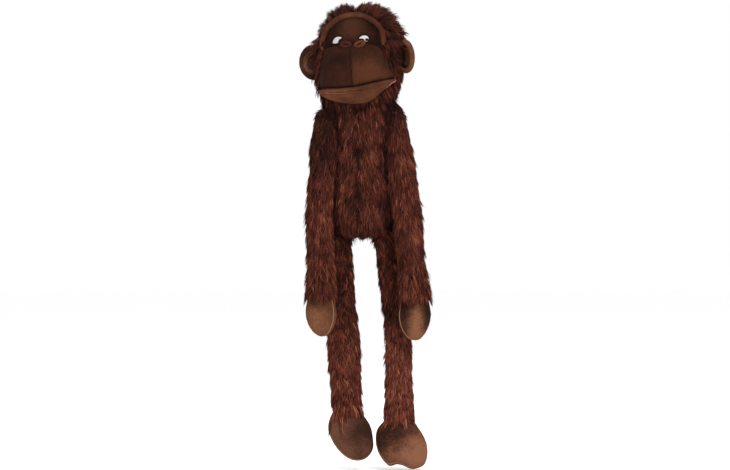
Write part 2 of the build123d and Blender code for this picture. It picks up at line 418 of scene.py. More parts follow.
def set_coordinates(piece, points):
    piece.data.vertices.foreach_set("co", (np.asarray(points) * MM).ravel())
    piece.data.update()


PUFF_FRAMES = 20


def puff(piece, voxel, cap, pressure=4.0):
    """Fills a piece like a stuffed pad: remesh, blow it up as cloth, and keep the growth to cap mm."""
    modify(piece, "REMESH", mode="VOXEL", voxel_size=voxel * MM)
    before = coordinates(piece)
    cloth = piece.modifiers.new("CLOTH", "CLOTH")
    cloth.settings.use_pressure = True
    cloth.settings.uniform_pressure_force = pressure
    cloth.settings.effector_weights.gravity = 0.0
    cloth.settings.quality = 5
    cloth.point_cache.frame_start = 1
    cloth.point_cache.frame_end = PUFF_FRAMES
    scene = bpy.context.scene
    for number in range(1, PUFF_FRAMES + 1):
        scene.frame_set(number)
    bpy.context.view_layer.objects.active = piece
    bpy.ops.object.modifier_apply(modifier=cloth.name)
    scene.frame_set(1)
    moved = coordinates(piece) - before
    reach = np.linalg.norm(moved, axis=1, keepdims=True)
    set_coordinates(piece, before + moved * np.minimum(1.0, cap / np.maximum(reach, 1e-6)))
    modify(piece, "SUBSURF", levels=1)
    shade_faces(piece.data)
    piece.data.update()


# ------------------------ fur

# A strand's rings, the sides of each ring, and how its radius falls from ring to ring.
LAYERS = 3
STRAND_SIDES = 3
STRAND_TAPER = np.array((1.0, 0.9, 0.55))


class Skin:
    """What the strands need to know of a furred form: its points, normals and triangles."""

    def __init__(self, piece):
        mesh = piece.data
        mesh.calc_loop_triangles()
        corners = np.empty(len(mesh.loop_triangles) * 3, int)
        mesh.loop_triangles.foreach_get("vertices", corners)
        self.corners = corners.reshape(-1, 3)
        self.points = coordinates(piece)
        self.normals = at_vertices(piece, "normal")

    def sample(self, rng, count):
        """Random places on the form, even by area: (points, normals)."""
        a, b, c = (self.points[self.corners[:, i]] for i in range(3))
        area = np.linalg.norm(np.cross(b - a, c - a), axis=1)
        chosen = rng.choice(len(area), count, p=area / area.sum())
        r, s = np.sqrt(rng.random(count)), rng.random(count)
        weights = np.column_stack([1 - r, r * (1 - s), r * s])
        at = self.corners[chosen]
        points = np.einsum("ij,ijk->ik", weights, self.points[at])
        normals = unit(np.einsum("ij,ijk->ik", weights, self.normals[at]))
        return points, normals


def spread_out(points, gap):
    """Which of the points to keep so that none is nearer than gap to another."""
    kept, cells = [], {}
    keys = np.floor(points / gap).astype(int)
    for i, key in enumerate(map(tuple, keys)):
        near = [
            j
            for dx in (-1, 0, 1)
            for dy in (-1, 0, 1)
            for dz in (-1, 0, 1)
            for j in cells.get((key[0] + dx, key[1] + dy, key[2] + dz), ())
        ]
        if all(((points[i] - points[j]) ** 2).sum() > gap * gap for j in near):
            kept.append(i)
            cells.setdefault(key, []).append(i)
    return np.array(kept)


def waves(points, size, seed):
    """A gentle random field from -1 to 1 over space, with features of about the given size."""
    rng = np.random.default_rng(seed)
    total = np.zeros(len(points))
    for _ in range(5):
        direction = rng.normal(size=3)
        direction *= 2 * math.pi / (size * rng.uniform(0.7, 1.4)) / np.linalg.norm(direction)
        total += np.sin(points @ direction + rng.uniform(0, 2 * math.pi))
    return total / 3.0


def strands_mesh(name, lines, radius, shade):
    """One mesh of closed, tapered strands. lines is (strands, LAYERS + 1, 3)."""
    count, sides = len(lines), STRAND_SIDES
    along = unit(np.gradient(lines, axis=1))[:, :LAYERS]
    side = unit(np.cross(along, np.array((0.31, 0.87, 0.38))))
    width = (radius[:, None] * STRAND_TAPER)[:, :, None]
    rings = rings_round(lines[:, :LAYERS], side * width, np.cross(along, side) * width, sides)
    verts = np.concatenate([rings.reshape(count, -1, 3), lines[:, LAYERS:]], axis=1)
    quads = ring_faces(LAYERS, sides, cap_ends=False)
    top = (LAYERS - 1) * sides
    tris = [(top + i, top + (i + 1) % sides, top + sides) for i in range(sides)] + [(2, 1, 0)]
    one = np.concatenate([np.array(quads).ravel(), np.array(tris).ravel()])
    per_strand = sides * LAYERS + 1
    loops = (one[None, :] + (np.arange(count) * per_strand)[:, None]).ravel()
    sizes = np.array([4] * len(quads) + [3] * len(tris))
    starts = np.concatenate([[0], np.cumsum(np.tile(sizes, count))[:-1]])
    mesh = bpy.data.meshes.new(name)
    mesh.vertices.add(count * per_strand)
    mesh.loops.add(len(loops))
    mesh.polygons.add(len(starts))
    mesh.vertices.foreach_set("co", (verts * MM).ravel())
    mesh.loops.foreach_set("vertex_index", loops)
    mesh.polygons.foreach_set("loop_start", starts)
    mesh.update(calc_edges=True)
    mesh.polygons.foreach_set("material_index", np.repeat(shade, len(sizes)))
    shade_faces(mesh)
    return add_object(name, mesh, FUR_MATERIALS)


# Pile grows in locks: the gap between their roots, the strands in each, and how far strands spread at
# the root, all in mm. The tries are random places on a form, thinned out to the gap.
LOCK_GAP = 3.4
LOCK_STRANDS = 11
ROOT_SPREAD = LOCK_GAP * 0.55
ROOT_TRIES = 26000
STRAND_RADIUS = 0.46
# How unevenly locks lie: sizes of the fields that vary direction, lift and shade over the form.
WANDER_SIZE, UNEVEN_SIZE, TONE_SIZE = 34.0, 16.0, 30.0


def at_points(value, points):
    """A number, or a function of the points, as one value for each point."""
    return value(points) if callable(value) else np.full(len(points), float(value))


def fur(name, skin, flow, seed, length, lift, shade, keep=None):
    """Long pile over a skin, in locks that lie along flow(points, normals).

    length is in mm, lift is the root's angle off the skin in radians, and shade is a place among
    FUR_SHADES. Each may be a function of the points. keep(points) says where the pile grows.
    """
    rng = np.random.default_rng(seed)
    points, normals = skin.sample(rng, ROOT_TRIES)
    if keep is not None:
        chosen = keep(points)
        points, normals = points[chosen], normals[chosen]
    chosen = spread_out(points, LOCK_GAP)
    points, normals = points[chosen], normals[chosen]
    locks = len(points)

    wanted = flow(points, normals)
    wander = 0.13 * waves(points, WANDER_SIZE, seed + 1)[:, None] + 0.12 * rng.normal(size=(locks, 1))
    down = unit(wanted - normals * (wanted * normals).sum(1, keepdims=True))
    down = unit(down + np.cross(normals, down) * wander)
    side = np.cross(normals, down)

    lock_length = at_points(length, points) * rng.uniform(0.75, 1.25, locks)
    uneven = 1.0 + 0.3 * waves(points, UNEVEN_SIZE, seed + 2) + 0.22 * rng.normal(size=locks)
    lock_lift = at_points(lift, points) * uneven
    lock_curl = rng.normal(size=locks) * 0.16
    tone = at_points(shade, points) + 0.6 * waves(points, TONE_SIZE, seed + 3)
    tone = tone + 0.6 * rng.normal(size=locks)

    who = np.repeat(np.arange(locks), LOCK_STRANDS)
    total = len(who)
    spread = rng.normal(size=(total, 2)) * ROOT_SPREAD
    strand_length = lock_length[who] * rng.uniform(0.7, 1.12, total)
    n, d, s = normals[who], down[who], side[who]
    lines = np.empty((total, LAYERS + 1, 3))
    lines[:, 0] = points[who] + d * spread[:, :1] + s * spread[:, 1:] - n
    angle = lock_lift[who] * rng.uniform(0.85, 1.15, total)
    curl = lock_curl[who] + 0.12 * rng.normal(size=total)
    for step in range(1, LAYERS + 1):
        share = step / LAYERS
        bend = angle * (1.15 - 0.95 * (step - 0.5) / LAYERS)
        gather = (spread[:, 1:] * s + 0.4 * spread[:, :1] * d) * (-0.92 / LAYERS * share)
        stride = (strand_length / LAYERS)[:, None]
        heading = d * np.cos(bend)[:, None] + n * np.sin(bend)[:, None] + s * (curl * share)[:, None]
        lines[:, step] = lines[:, step - 1] + unit(heading) * stride + gather
    radius = STRAND_RADIUS * rng.uniform(0.75, 1.2, total)
    level = np.round(tone[who] + 1.15 * rng.normal(size=total))
    return strands_mesh(name, lines, radius, np.clip(level, 0, len(FUR_SHADES) - 1).astype(int))


# ------------------------ limbs

LIMB_RINGS = 60
LIMB_AROUND = 32
CAP_RINGS = 7
END_FLATNESS = 0.5


def limb_skin(name, run, radii):
    """A stuffed limb from its top pivot to just past its end pivot. radii are (share, radius)."""
    top, bend, end = run
    line = smooth_line([top, (top + bend) / 2, bend, (bend + end) / 2, end], LIMB_RINGS)
    first, last = unit(line[0] - line[1]), unit(line[-1] - line[-2])
    radius = profile(radii, np.linspace(0, 1, LIMB_RINGS))
    cap = np.linspace(0, math.pi / 2, CAP_RINGS + 2)[1:-1]
    head_line = line[0] + first * (radius[0] * np.sin(cap[::-1]))[:, None]
    tail_line = line[-1] + last * (END_FLATNESS * radius[-1] * np.sin(cap))[:, None]
    radius = np.concatenate([radius[0] * np.cos(cap[::-1]), radius, radius[-1] * np.cos(cap)])
    line = np.vstack([head_line, line, tail_line])
    radius = radius * (1.0 + 0.03 * waves(line, 45.0, 7))
    verts = tube_points(line, radius, radius, LIMB_AROUND)
    return build(name, verts, ring_faces(len(line), LIMB_AROUND), [BACKING])


def limb_flow(run):
    """Down the limb: along its upper length above the bend, and its lower length below it."""
    top, bend, end = run
    upper, lower = unit(bend - top), unit(end - bend)

    def flow(points, normals):
        share = held((points - bend) @ lower / 20.0 + 0.5)[:, None]
        return upper * (1 - share) + lower * share

    return flow


def below(points, height, span):
    """0 at a height, going evenly to 1 a span lower down."""
    return held((height - points[:, 2]) / span)


def limb(kind, lengths, side, run, radii, seed, **pile_look):
    """A limb in one skin and one pile, curved softly through its bend, in place of the sleeves and stuffing
    of its two lengths.
    """
    skin = limb_skin(f"{kind}_backing_{side}", run, radii)
    pile = fur(f"{kind}_fur_{side}", Skin(skin), limb_flow(run), seed, **pile_look)
    for piece in (skin, pile):
        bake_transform(piece)
    nodes = [f"{name}_{part}_{side}" for name in lengths for part in ("sleeve", "stuffing")]
    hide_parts(*nodes)


ARM_RADII = {
    "right": [(0.0, 15.0), (0.1, 16.5), (0.25, 15.0), (0.55, 15.0), (0.8, 14.5), (1.0, 16.5)],
    "left": [(0.0, 13.5), (0.1, 14.5), (0.25, 15.0), (0.55, 16.0), (0.8, 15.0), (1.0, 17.5)],
}
# How dark the pile is at the shoulder, how light further down, and where that change begins. The dark at
# the shoulder is painted shade, where the arm meets the trunk.
ARM_SHADE = {"right": (1.8, 3.45, 38.0), "left": (2.2, 3.4, 8.0)}
ARM_SEED = {"right": 12, "left": 11}


def arm(side):
    """Short flat pile at the shoulder, longer below, and standing out a little in a cuff."""
    top, bend, end = run = SHOULDER[side], ELBOW[side], WRIST[side]
    dark, light, start = ARM_SHADE[side]

    def length(points):
        return 8.0 + 8.5 * below(points, top[2] + 8.0, 30.0)

    def lift(points):
        cuff = below(points, end[2] + 35.0, 35.0)
        return 0.14 + 0.2 * below(points, top[2], 40.0) + 0.2 * cuff

    # Painted shade: darker pile at the shoulder, where the arm meets the trunk.
    def shade(points):
        return dark + (light - dark) * below(points, top[2] - start, 36.0)

    look = {"length": length, "lift": lift, "shade": shade}
    limb("arm", ("upper_arm", "forearm"), side, run, ARM_RADII[side], ARM_SEED[side], **look)


LEG_RADII = {
    "right": [(0.0, 15.0), (0.25, 15.5), (0.45, 17.0), (0.6, 19.5), (0.8, 18.5), (1.0, 17.0)],
    "left": [(0.0, 15.0), (0.25, 15.0), (0.5, 15.0), (0.8, 15.5), (0.93, 17.5), (1.0, 17.5)],
}
# How much lighter the shin's pile is than the thigh's, and how much longer it grows over the instep. The
# thigh's darker pile is painted shade, from the arms and hands in front of it.
LEG_SHADE = {"right": 1.5, "left": 2.2}
LEG_CUFF = {"right": 23.0, "left": 15.0}
LEG_SEED = {"right": 22, "left": 21}


def leg(side):
    """Even pile that lengthens over the instep, where it lies on the foot."""
    top, bend, end = run = HIP[side], KNEE[side], ANKLE[side]

    def instep(points):
        return below(points, end[2] + 16.0, 14.0) * held((end[1] - points[:, 1]) / 12.0)

    def length(points):
        return 14.0 + 2.0 * below(points, end[2] + 14.0, 20.0) + LEG_CUFF[side] * instep(points)

    def lift(points):
        return 0.3 + 0.45 * instep(points)

    # Painted shade: the thigh's pile darker than the shin's, where the arms and hands shade it.
    def shade(points):
        return 2.35 + LEG_SHADE[side] * below(points, bend[2] + 25.0, 45.0)

    look = {"length": length, "lift": lift, "shade": shade}
    limb("leg", ("thigh", "shin"), side, run, LEG_RADII[side], LEG_SEED[side], **look)


def coat(skin, piles, body, nodes):
    """Hands a skin and its pile to one body, in place of the given nodes."""
    for piece in (skin, *piles):
        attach(piece, body)
    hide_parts(*nodes)


# ------------------------ body

# The trunk's sections: height over the neck pivot, half width, half depth.
TRUNK = [
    (15.0, 16.0, 13.0),
    (8.0, 33.0, 21.0),
    (0.0, 41.0, 24.0),
    (-10.0, 45.0, 26.0),
    (-24.0, 42.0, 26.0),
    (-42.0, 35.0, 26.0),
    (-66.0, 33.0, 26.5),
    (-96.0, 34.5, 28.0),
    (-126.0, 37.5, 28.5),
    (-148.0, 40.0, 27.0),
    (-162.0, 36.5, 24.0),
    (-170.0, 23.0, 18.0),
]
# The pile parts down the front, and is darker there and at the flanks: painted shade in the parting and
# beside the arms.
PARTING_X = -4.0
PARTING_HALF = 2.8
FLANK_X = 25.0
BODY_SEED = {"front": 31, "back": 32}
BODY_RINGS = 64
BODY_AROUND = 56


def body():
    heights = np.linspace(TRUNK[0][0], TRUNK[-1][0], BODY_RINGS)
    half_width = profile([(h, w) for h, w, _ in TRUNK], heights)
    half_depth = profile([(h, d) for h, _, d in TRUNK], heights)
    line = np.outer(heights, UP)
    verts = BODY.out(tube_points(line, half_width, half_depth, BODY_AROUND))
    skin = build("body_backing", verts, ring_faces(BODY_RINGS, BODY_AROUND), [BACKING])
    form = Skin(skin)

    def flow(points, normals):
        aside = BODY.inside(points)[:, 0] - PARTING_X
        fan = 0.22 * np.sign(aside) * bell(aside, 16.0) * held(-normals[:, 1])
        return np.column_stack([fan, np.zeros(len(points)), -np.ones(len(points))])

    # Painted shade: darker pile in the parting's groove and at the flanks, where the arms hang beside the
    # trunk.
    def shade(points):
        x, y, _ = BODY.inside(points).T
        parting = bell(x - PARTING_X, PARTING_HALF) * (y < 0)
        flank_shade = held((np.abs(x) - FLANK_X) / 5.0)
        return 3.2 - 1.8 * parting - 2.0 * flank_shade

    piles = [
        fur(
            f"body_fur_{name}",
            form,
            flow,
            BODY_SEED[name],
            length=16.0,
            lift=0.33,
            shade=shade,
            keep=lambda points, sign=sign: BODY.inside(points)[:, 1] * sign > 0,
        )
        for name, sign in (("front", -1), ("back", 1))
    ]
    coat(skin, piles, "body", ("body_front_left", "body_front_right", "body_back", "body_stuffing"))


# ------------------------ head

# The head's radius, how high its crown stands, its radius lower down, and how its middle line sways.
SKULL_R = 55.0
CROWN_R = 51.0
JAW = [(0.0, 55.0), (-30.0, 53.0), (-50.0, 49.0), (-66.0, 42.0)]
SWAY = [(51.0, 0.5), (30.0, 1.0), (0.0, -2.0), (-30.0, -5.5), (-50.0, -5.5), (-73.0, -3.0)]
# The dip in the crown where its two panels meet, and the tuft beside it.
NOTCH_X = -0.5
NOTCH_HALF = 5.5
NOTCH_DEPTH = 5.0
TUFT_X = -18.0
TUFT_HALF = 10.0
TUFT_RISE = 4.0
# How far the right temple is pressed in, by height; a minus swells it out.
TEMPLE = [(51.0, 0.0), (41.0, -4.0), (32.0, 0.0), (22.0, 4.0), (8.0, 0.5), (0.0, 0.0)]
# The middle of the eye panel, its radius, and the radius that stays clear of pile.
FACE_X, FACE_Z = -2.8, 3.0
FACE_R = 40.5
FACE_CLEAR = 43.0
HEAD_AROUND = 72
HEAD_SEED = {"right": 42, "left": 41}


def head_skin():
    angle = np.radians(np.linspace(3, 90, 26))
    lower = np.linspace(-2, -66, 26)
    heights = np.concatenate([CROWN_R * np.cos(angle), lower, [-70.0, -73.0]])
    radius = np.concatenate([SKULL_R * np.sin(angle), profile(JAW, lower), [30.0, 18.0]])
    line = np.column_stack([profile(SWAY, heights), np.zeros(len(heights)), heights])
    verts = tube_points(line, radius, radius, HEAD_AROUND)
    notch = NOTCH_DEPTH * bell(verts[:, 0] - NOTCH_X, NOTCH_HALF)
    tuft = TUFT_RISE * bell(verts[:, 0] - TUFT_X, TUFT_HALF)
    verts[:, 2] += (tuft - notch) * (verts[:, 2] > 25.0)
    verts[:, 0] += profile(TEMPLE, verts[:, 2]) * held(-verts[:, 0] / 30.0)
    from_face = np.hypot(verts[:, 0] - FACE_X, verts[:, 2] - FACE_Z)
    behind_face = (verts[:, 1] < 0) & (from_face < 39.0)
    verts[behind_face | in_muzzle(verts, -2.0)] *= 0.88
    return build("head_backing", HEAD.out(verts), ring_faces(len(heights), HEAD_AROUND), [BACKING])


# The muzzle stands round an axis of its own, this far in front of the head's middle.
MUZZLE_AXIS = -14.0
MUZZLE_BACK = 20.0
MUZZLE_TOP, MUZZLE_FOOT = 4.5, -50.6
# How far it stands out from that axis, by height, on each side and in front.
MUZZLE_REACH = {
    "right": [(MUZZLE_TOP, 30), (3.5, 39), (1.5, 43), (-11, 48), (-33, 52), (-46, 53), (MUZZLE_FOOT, 51)],
    "left": [
        (MUZZLE_TOP, 14), (0, 18), (-3, 22), (-10, 31), (-18, 36), (-26, 39), (-36, 42), (-44, 46),
        (MUZZLE_FOOT, 46),
    ],
    "front": [(MUZZLE_TOP, 26), (3, 36), (0, 42.5), (-4, 46), (-16, 48.5), (-46, 49.5), (MUZZLE_FOOT, 47.5)],
}
# How squarely the form turns its front corner on the right and on the left.
MUZZLE_TURN = (2.0, 11.0)
LIP_TURN = (2.0, 5.0)
# The mouth line's lowest place, and how far under that line the lip starts.
MOUTH_LOW_X, MOUTH_Z = -8.0, -51.0
LIP_GAP = 1.0
# How deep the lip hangs, by the angle round the muzzle in radians.
LIP_DEPTH = [
    (-1.7, 4.0), (-1.48, 6.0), (-1.2, 10.5), (-0.9, 14.5), (-0.5, 17.5), (0.0, 20.0),
    (0.5, 19.5), (0.8, 15.0), (1.1, 8.5), (1.3, 5.0), (1.7, 3.5),
]


def mouth_height(x):
    """The height of the mouth line across the face: it turns up towards both corners."""
    rise = np.where(x > MOUTH_LOW_X, 0.0028, 0.0018)
    return MOUTH_Z + rise * (x - MOUTH_LOW_X) ** 2


def lip_depth(angle):
    return profile(LIP_DEPTH, np.clip(angle, LIP_DEPTH[0][0], LIP_DEPTH[-1][0]))


def round_reach(angle, right, left, front, turns):
    """A reach that goes smoothly from one side over the front to the other. angle 0 is the front."""
    side = np.where(angle < 0, right, left)
    ahead = np.where(np.abs(angle) < math.pi / 2, front, MUZZLE_BACK)
    power = np.where(angle < 0, *turns)
    share = np.where(np.abs(angle) < math.pi / 2, np.abs(np.sin(angle)) ** power, np.sin(angle) ** 2)
    return side * share + ahead * (1 - share)


def muzzle_reach(angle, height):
    reaches = [profile(MUZZLE_REACH[part], height) for part in ("right", "left", "front")]
    return round_reach(angle, *reaches, MUZZLE_TURN)


def in_muzzle(points, margin):
    """Which points lie inside the muzzle or the lip, grown by a margin."""
    out = np.hypot(points[:, 0], points[:, 1] - MUZZLE_AXIS)
    angle = np.arctan2(points[:, 0], MUZZLE_AXIS - points[:, 1])
    near = out < muzzle_reach(angle, np.clip(points[:, 2], MUZZLE_FOOT, MUZZLE_TOP)) + margin
    lowest = np.maximum(mouth_height(points[:, 0]) - LIP_GAP - lip_depth(angle), -60.0)
    return near & (points[:, 2] < FACE_Z) & (points[:, 2] > lowest) & (points[:, 1] < 0)


def head():
    """Pile that lies away from the face and falls down the back, with a parting at the crown."""
    skin = head_skin()
    form = Skin(skin)

    def bare(points):
        p = HEAD.inside(points)
        from_face = np.hypot(p[:, 0] - FACE_X, p[:, 2] - FACE_Z)
        face = (p[:, 1] < -10.0) & (p[:, 2] > FACE_Z - 6.0) & (from_face < FACE_CLEAR)
        return face | in_muzzle(p, 2.0)

    def crown(points):
        return held((HEAD.inside(points)[:, 2] - 15.0) / 30.0)

    def behind(points):
        return held(HEAD.inside(points)[:, 1] / 40.0)

    def notch(points):
        return bell(HEAD.inside(points)[:, 0] - NOTCH_X, NOTCH_HALF) * crown(points)

    def flow(points, normals):
        p = HEAD.inside(points)
        away = p - np.array((NOTCH_X, -46.0, FACE_Z))
        away[:, 1] = np.maximum(away[:, 1], 0) * 0.5
        up = held(p[:, 2] / 40.0)[:, None]
        fall = np.array((0.0, 12.0, -42.0))
        return (away * up + fall * (1 - up)) @ HEAD.axes.T

    piles = [
        fur(
            f"head_pile_{side}",
            form,
            flow,
            HEAD_SEED[side],
            length=lambda points: 16.0 - 4.0 * crown(points) - 8.0 * notch(points) - 2.0 * behind(points),
            lift=lambda points: 0.62 + 0.45 * crown(points) - 0.3 * behind(points),
            shade=2.3,
            keep=lambda points, sign=sign: ~bare(points) & (HEAD.inside(points)[:, 0] * sign > 0),
        )
        for side, sign in SIDES.items()
    ]
    coat(skin, piles, "head", ("head_fur_left", "head_fur_right", "head_stuffing"))


# ------------------------ face

FACE_DARK = suede("face_suede_dark", (26, 14, 10), (39, 21, 14), (52, 29, 20))
# Painted light: a lighter area on the front of the muzzle's left half, fading outwards.
MUZZLE_GLOW = (HEAD.out((20.0, -58.0, -44.0)), 52.0)
FACE_MID = suede("face_suede_mid", (31, 17, 11), (45, 25, 16), (64, 36, 23), glow=MUZZLE_GLOW)
# Painted light in the middle of the eye panel, fading to painted shade in the eye sockets and at its sides
# under the brow roll.
PANEL_GLOW = (HEAD.out((-1.0, -44.0, 26.0)), 26.0)
EYE_PANEL = suede("eye_panel_suede", (23, 12, 8), (39, 21, 14), (56, 31, 21), glow=PANEL_GLOW)
ROLL_SUEDE = suede("rolled_edge_suede", (41, 22, 16), (60, 34, 24), (86, 51, 36), sheen=0.12)
LIP_BAND = suede("lip_band_suede", (47, 26, 18), (68, 39, 26), (95, 57, 39), sheen=0.08)
# Painted highlight along the ridge of the lip's fold.
LIP_RIDGE_HIGHLIGHT = suede("lip_ridge_highlight", (78, 46, 31), (102, 63, 43), (128, 82, 58), sheen=0.1)
LIP_SUEDE = suede("lip_suede", (51, 28, 19), (71, 41, 27), (95, 57, 38), sheen=0.08)
# Painted highlight on the curled edge at the mouth's left corner.
LIP_CURL_HIGHLIGHT = suede("lip_curl_highlight", (104, 66, 48), (142, 98, 74), (176, 130, 100), sheen=0.1)
THREAD = cloth_material("seam_thread", (22, 11, 8), (40, 22, 16), "Z")
# A real seam round the paws, coloured light as a painted highlight along their rims.
HIGHLIGHT_THREAD = cloth_material("highlight_thread", (96, 66, 48), (156, 118, 92), "Z")
EYE_WHITE = cloth_material("eye_white_stitch", (158, 152, 150), (198, 192, 190), "Z")
EYE_BLACK = cloth_material("eye_black_stitch", (8, 6, 5), (22, 17, 16), "Z")
NOSTRIL_RED = suede("nostril_suede_dark", (34, 15, 12), (52, 25, 20), (70, 36, 28))
NOSTRIL_TAN = suede("nostril_suede_light", (51, 27, 16), (76, 43, 26), (98, 58, 36))

# The eye panel lies on this sphere, and its sockets are pressed in round (x, z) on each side.
PANEL_R = 51.0
SOCKET_X, SOCKET_Z = 18.0, 10.0
# The middle of the rolled edge over the eyes, as (x, z) on a sphere of its own.
ROLL_R = 54.0
ROLL_STEPS = 90
ROLL = [
    (-42.0, -3.0), (-43.0, 5.0), (-41.5, 15.0), (-34.0, 28.0), (-22.0, 36.5), (-9.0, 41.0),
    (2.5, 41.5), (15.5, 38.5), (28.0, 30.5), (36.0, 21.0), (39.0, 8.5), (38.0, -1.5),
]


def on_sphere(x, z, radius):
    return -np.sqrt(np.maximum(radius**2 - x**2 - z**2, 1.0))


def settle(piece, nodes, body="head"):
    """Hangs a finished piece on a body, and hides the CAD nodes that it stands for."""
    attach(piece, body)
    if nodes:
        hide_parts(*nodes)
    return piece


def loop_tube(name, points, radius, material, closed=True, around=8):
    """A thin tube along a closed run of points, or an open one with its ends closed."""
    points = np.asarray(points, float)
    if closed:
        line = np.vstack([points[-1:], points, points[:1]])
        along = unit(line[2:] - line[:-2])
    else:
        along = unit(np.gradient(points, axis=0))
    side = unit(np.cross(along, np.array((0.13, 0.99, 0.07))))
    other = np.cross(along, side)
    width = np.broadcast_to(radius, len(points))[:, None]
    verts = rings_round(points, side * width, other * width, around).reshape(-1, 3)
    faces = ring_faces(len(points), around, cap_ends=not closed)
    if closed:
        last = (len(points) - 1) * around
        faces += [(last + j, last + (j + 1) % around, (j + 1) % around, j) for j in range(around)]
    else:
        verts = np.vstack([verts, points[:1], points[-1:]])
    return build(name, verts, faces, [material])


def trim(name, points, radius, material, body="head", closed=False):
    """A thread, seam or fold along a run of points. It stands for no CAD node."""
    settle(loop_tube(name, points, radius, material, closed), [], body)


def on_surface(piece, points, rise=0.0):
    """The given points moved to the nearest place on a piece, then out by rise."""
    tree = BVHTree.FromObject(piece, bpy.context.evaluated_depsgraph_get())
    found = []
    for point in np.asarray(points):
        place, normal, _, _ = tree.find_nearest(Vector(point * MM))
        found.append(np.array(place) / MM + np.array(normal) * rise)
    return np.array(found)


def crease(piece, line, depth, width):
    """Presses a soft valley into a piece along a line of points."""
    points = coordinates(piece)
    gap = np.min(np.linalg.norm(points[:, None, :] - np.asarray(line)[None, :, :], axis=2), axis=1)
    press = depth * bell(gap, width)
    set_coordinates(piece, points - at_vertices(piece, "normal") * press[:, None])


def eye_panel():
    outline = oval(FACE_R, FACE_R, 72) + (FACE_X, FACE_Z)

    def front(x, z, share):
        sunk = 2.2 * held((share - 0.82) / 0.18) ** 2
        sockets = 1.6 * np.exp(-((np.abs(x) - SOCKET_X) ** 2 + (z - SOCKET_Z) ** 2) / 120.0)
        return on_sphere(x, z, PANEL_R) + sunk + sockets

    def back(x, z, share):
        return on_sphere(x, z, PANEL_R) + 4.0

    verts, faces = pad_points(outline, front, back, rings=16)
    panel = build("eye_panel_cloth", HEAD.out(verts), faces, [EYE_PANEL])
    modify(panel, "SUBSURF", levels=1)
    settle(panel, ["eye_panel"])


def brow_roll():
    x, z = smooth_line(ROLL, ROLL_STEPS).T
    line = np.column_stack([x, on_sphere(x, z, ROLL_R), z])
    ends = np.sqrt(np.clip(arch(ROLL_STEPS) * 6.0, 0.05, 1))
    verts = tube_points(line, 3.2 * ends, 3.7 * ends, 16, side_axis=(0.0, 1.0, 0.0))
    roll = build("brow_roll_cloth", HEAD.out(verts), ring_faces(ROLL_STEPS, 16), [ROLL_SUEDE])
    puff(roll, voxel=1.6, cap=0.6)
    crease(roll, on_surface(roll, HEAD.out(line * 1.09)), depth=0.9, width=1.5)
    settle(roll, ["brow_roll"])


DRUM_AROUND = 96


def paint(piece, second):
    """Gives the second material to the faces whose first corner is one of the chosen points."""
    for polygon in piece.data.polygons:
        polygon.material_index = int(second[polygon.vertices[0]])


def drum(name, heights, reach, floor, materials):
    """A closed form round the muzzle's axis. angle 0 is the front, and plus is the left."""
    angle = np.linspace(-math.pi, math.pi, DRUM_AROUND, endpoint=False)
    rings = []
    for height in heights:
        r = reach(angle, height)
        x = r * np.sin(angle)
        rings.append(np.column_stack([x, MUZZLE_AXIS - r * np.cos(angle), floor(angle, height, x)]))
    ends = [rings[0].mean(axis=0), rings[-1].mean(axis=0)]
    verts = np.vstack([*rings, ends])
    return build(name, HEAD.out(verts), ring_faces(len(heights), DRUM_AROUND), materials)


def muzzle():
    upper = [MUZZLE_TOP, 4.0, 3.0]
    heights = np.concatenate([upper, np.linspace(1.5, -49.0, 32), [-50.0, MUZZLE_FOOT]])

    def floor(angle, height, x):
        cheek = 0.006 * np.maximum(x - 10.0, 0) ** 2 * held(1 + height / 14.0)
        return height + (mouth_height(x) - MOUTH_Z) * held(-height / 50.0) ** 2 - cheek

    piece = drum("muzzle_cloth", heights, muzzle_reach, floor, [FACE_DARK, FACE_MID])
    puff(piece, voxel=2.2, cap=1.5)
    guess = np.column_stack([np.zeros(60), np.full(60, -66.0), np.linspace(0.0, -50.0, 60)])
    seam = on_surface(piece, HEAD.out(guess))
    crease(piece, seam, depth=1.6, width=1.8)
    paint(piece, HEAD.inside(coordinates(piece))[:, 0] > 0)
    settle(piece, ["muzzle_left", "muzzle_right", "muzzle_stuffing"])
    trim("muzzle_seam_thread", on_surface(piece, seam, 0.1), 0.55, THREAD)


# The lip's section, as (share of its depth, share of its reach), and its reach on the right, on the
# left and in front.
LIP_SECTION = [
    (0.0, 0.965), (0.06, 0.995), (0.16, 1.015), (0.26, 1.0), (0.33, 0.98),
    (0.45, 0.985), (0.7, 0.93), (0.9, 0.8), (1.0, 0.6),
]
LIP_REACH = (56.5, 47.5, 51.5, LIP_TURN)
# The curled edge at the left corner of the mouth, its light colour a painted highlight.
LIP_CORNER = [(41.0, -16.0, -39.5), (45.0, -17.0, -44.0), (44.0, -26.0, -50.0), (37.0, -39.0, -57.0)]
# The fold along the lip, in steps over these angles in degrees, with a light ridge along its first part
# that paints the highlight on the fold.
FOLD_FROM, FOLD_TO, FOLD_STEPS = -86, 78, 80
RIDGE_STEPS = 58


